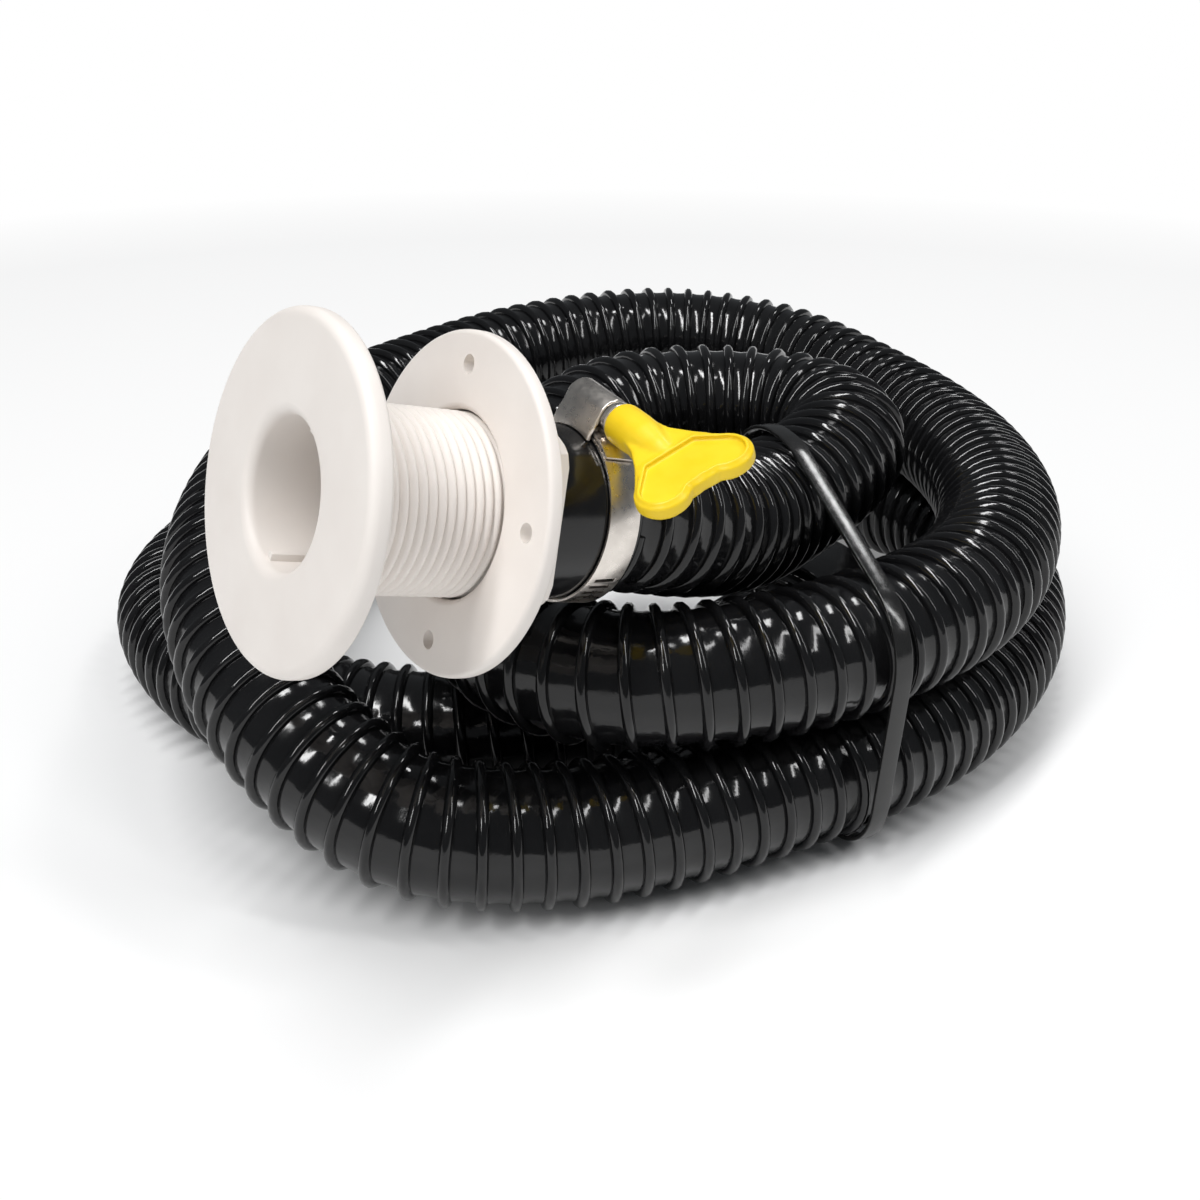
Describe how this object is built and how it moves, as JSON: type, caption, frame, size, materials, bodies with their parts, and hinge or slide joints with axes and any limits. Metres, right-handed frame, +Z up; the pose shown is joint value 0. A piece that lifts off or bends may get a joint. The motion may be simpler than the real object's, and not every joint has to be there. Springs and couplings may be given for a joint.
{
  "type": "waste hose kit",
  "caption": "Coiled ribbed waste hose with smooth end cuffs, a flanged threaded wall fitting with its lock nut, a worm-drive clamp with a butterfly key, and a cable tie.",
  "frame": {"origin": "on the floor under the middle of the coiled kit", "axes": "+Z up, +X to the right of the viewer who faces the fitting's flange, +Y away from that viewer"},
  "size_m": [0.3163, 0.3745, 0.1618],
  "materials": {
    "white_plastic": "satin moulded, warm white",
    "hose_plastic": "gloss black PVC",
    "cuff_rubber": "smooth gloss black",
    "clamp_steel": "polished stainless",
    "yellow_plastic": "satin moulded yellow",
    "tie_plastic": "gloss black nylon"
  },
  "bodies": {
    "hose_and_fitting": {"thru_hull_body": "white_plastic", "hose_tube": "hose_plastic", "hose_cuff_near": "cuff_rubber", "hose_cuff_far": "cuff_rubber", "clamp_band": "clamp_steel", "clamp_housing": "clamp_steel", "cable_tie": "tie_plastic"},
    "lock_nut": {"lock_nut": "white_plastic"},
    "worm_and_key": {"worm_screw": "clamp_steel", "thumb_key": "yellow_plastic"}
  },
  "joints": [
    {"name": "lock_nut_travel", "type": "slide", "parent": "hose_and_fitting", "child": "lock_nut", "axis": [0.7915, 0.548, -0.2706], "range_m": [-0.0355, 0.0015]},
    {"name": "worm_turn", "type": "hinge", "parent": "hose_and_fitting", "child": "worm_and_key", "pos_m": [0.00238, -0.11346, 0.12952], "axis": [0.5328, -0.8356, -0.134], "continuous": true}
  ]
}
